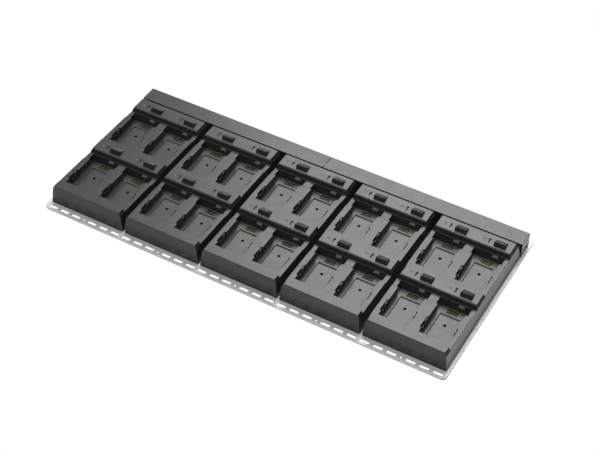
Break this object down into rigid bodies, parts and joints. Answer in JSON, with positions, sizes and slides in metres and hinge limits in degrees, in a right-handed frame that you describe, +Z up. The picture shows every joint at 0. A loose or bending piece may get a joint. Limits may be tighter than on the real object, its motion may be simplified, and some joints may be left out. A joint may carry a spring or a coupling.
{
  "type": "bodypack charging station",
  "caption": "Low multi-bay desktop charger: side-by-side modules with open bays, contacts, clips and sprung release slides, on a sheet tray with a rear power bar.",
  "frame": {"origin": "middle of the footprint, at the height of the rubber feet's underside", "axes": "+X to the right along the row of modules, +Y from the slotted front flange to the power bar, +Z up"},
  "size_m": [0.6454, 0.2922, 0.043],
  "materials": {
    "housing_plastic": "fine matte texture",
    "slide_plastic": "satin, ribbed for the thumb",
    "dark_plastic": "matte",
    "tray_metal": "light grey powder coat",
    "board": "solder resist, with gold-plated contacts",
    "light_guide": "clear moulding",
    "rubber": "matte"
  },
  "bodies": {
    "base": {"tray": "tray_metal", "rubber_foot_1": "rubber", "rubber_foot_2": "rubber", "rubber_foot_3": "rubber", "rubber_foot_4": "rubber", "housing_1": "housing_plastic", "bottom_cover_1": "dark_plastic", "circuit_board_1": "board", "clip_frame_1": "housing_plastic", "light_guide_1": "light_guide", "housing_2": "housing_plastic", "bottom_cover_2": "dark_plastic", "circuit_board_2": "board", "clip_frame_2": "housing_plastic", "light_guide_2": "light_guide", "housing_3": "housing_plastic", "bottom_cover_3": "dark_plastic", "circuit_board_3": "board", "clip_frame_3": "housing_plastic", "light_guide_3": "light_guide", "housing_4": "housing_plastic", "bottom_cover_4": "dark_plastic", "circuit_board_4": "board", "clip_frame_4": "housing_plastic", "light_guide_4": "light_guide", "housing_5": "housing_plastic", "bottom_cover_5": "dark_plastic", "circuit_board_5": "board", "clip_frame_5": "housing_plastic", "light_guide_5": "light_guide", "bar_cover_left": "housing_plastic", "bar_cover_right": "housing_plastic", "bar_base": "dark_plastic", "power_board": "board", "power_socket": "dark_plastic", "cable_tab": "tray_metal"},
    "slide_1a": {"release_slide_1a": "slide_plastic"},
    "slide_1b": {"release_slide_1b": "slide_plastic"},
    "slide_1c": {"release_slide_1c": "slide_plastic"},
    "slide_1d": {"release_slide_1d": "slide_plastic"},
    "slide_2a": {"release_slide_2a": "slide_plastic"},
    "slide_2b": {"release_slide_2b": "slide_plastic"},
    "slide_2c": {"release_slide_2c": "slide_plastic"},
    "slide_2d": {"release_slide_2d": "slide_plastic"},
    "slide_3a": {"release_slide_3a": "slide_plastic"},
    "slide_3b": {"release_slide_3b": "slide_plastic"},
    "slide_3c": {"release_slide_3c": "slide_plastic"},
    "slide_3d": {"release_slide_3d": "slide_plastic"},
    "slide_4a": {"release_slide_4a": "slide_plastic"},
    "slide_4b": {"release_slide_4b": "slide_plastic"},
    "slide_4c": {"release_slide_4c": "slide_plastic"},
    "slide_4d": {"release_slide_4d": "slide_plastic"},
    "slide_5a": {"release_slide_5a": "slide_plastic"},
    "slide_5b": {"release_slide_5b": "slide_plastic"},
    "slide_5c": {"release_slide_5c": "slide_plastic"},
    "slide_5d": {"release_slide_5d": "slide_plastic"}
  },
  "joints": [
    {"name": "release_1a", "type": "slide", "parent": "base", "child": "slide_1a", "axis": [0, 1, 0], "range_m": [0, 0.003], "stiffness_N_per_m": 400, "springref_m": -0.002},
    {"name": "release_1b", "type": "slide", "parent": "base", "child": "slide_1b", "axis": [0, 1, 0], "range_m": [0, 0.003], "stiffness_N_per_m": 400, "springref_m": -0.002},
    {"name": "release_1c", "type": "slide", "parent": "base", "child": "slide_1c", "axis": [0, 1, 0], "range_m": [0, 0.003], "stiffness_N_per_m": 400, "springref_m": -0.002},
    {"name": "release_1d", "type": "slide", "parent": "base", "child": "slide_1d", "axis": [0, 1, 0], "range_m": [0, 0.003], "stiffness_N_per_m": 400, "springref_m": -0.002},
    {"name": "release_2a", "type": "slide", "parent": "base", "child": "slide_2a", "axis": [0, 1, 0], "range_m": [0, 0.003], "stiffness_N_per_m": 400, "springref_m": -0.002},
    {"name": "release_2b", "type": "slide", "parent": "base", "child": "slide_2b", "axis": [0, 1, 0], "range_m": [0, 0.003], "stiffness_N_per_m": 400, "springref_m": -0.002},
    {"name": "release_2c", "type": "slide", "parent": "base", "child": "slide_2c", "axis": [0, 1, 0], "range_m": [0, 0.003], "stiffness_N_per_m": 400, "springref_m": -0.002},
    {"name": "release_2d", "type": "slide", "parent": "base", "child": "slide_2d", "axis": [0, 1, 0], "range_m": [0, 0.003], "stiffness_N_per_m": 400, "springref_m": -0.002},
    {"name": "release_3a", "type": "slide", "parent": "base", "child": "slide_3a", "axis": [0, 1, 0], "range_m": [0, 0.003], "stiffness_N_per_m": 400, "springref_m": -0.002},
    {"name": "release_3b", "type": "slide", "parent": "base", "child": "slide_3b", "axis": [0, 1, 0], "range_m": [0, 0.003], "stiffness_N_per_m": 400, "springref_m": -0.002},
    {"name": "release_3c", "type": "slide", "parent": "base", "child": "slide_3c", "axis": [0, 1, 0], "range_m": [0, 0.003], "stiffness_N_per_m": 400, "springref_m": -0.002},
    {"name": "release_3d", "type": "slide", "parent": "base", "child": "slide_3d", "axis": [0, 1, 0], "range_m": [0, 0.003], "stiffness_N_per_m": 400, "springref_m": -0.002},
    {"name": "release_4a", "type": "slide", "parent": "base", "child": "slide_4a", "axis": [0, 1, 0], "range_m": [0, 0.003], "stiffness_N_per_m": 400, "springref_m": -0.002},
    {"name": "release_4b", "type": "slide", "parent": "base", "child": "slide_4b", "axis": [0, 1, 0], "range_m": [0, 0.003], "stiffness_N_per_m": 400, "springref_m": -0.002},
    {"name": "release_4c", "type": "slide", "parent": "base", "child": "slide_4c", "axis": [0, 1, 0], "range_m": [0, 0.003], "stiffness_N_per_m": 400, "springref_m": -0.002},
    {"name": "release_4d", "type": "slide", "parent": "base", "child": "slide_4d", "axis": [0, 1, 0], "range_m": [0, 0.003], "stiffness_N_per_m": 400, "springref_m": -0.002},
    {"name": "release_5a", "type": "slide", "parent": "base", "child": "slide_5a", "axis": [0, 1, 0], "range_m": [0, 0.003], "stiffness_N_per_m": 400, "springref_m": -0.002},
    {"name": "release_5b", "type": "slide", "parent": "base", "child": "slide_5b", "axis": [0, 1, 0], "range_m": [0, 0.003], "stiffness_N_per_m": 400, "springref_m": -0.002},
    {"name": "release_5c", "type": "slide", "parent": "base", "child": "slide_5c", "axis": [0, 1, 0], "range_m": [0, 0.003], "stiffness_N_per_m": 400, "springref_m": -0.002},
    {"name": "release_5d", "type": "slide", "parent": "base", "child": "slide_5d", "axis": [0, 1, 0], "range_m": [0, 0.003], "stiffness_N_per_m": 400, "springref_m": -0.002}
  ]
}
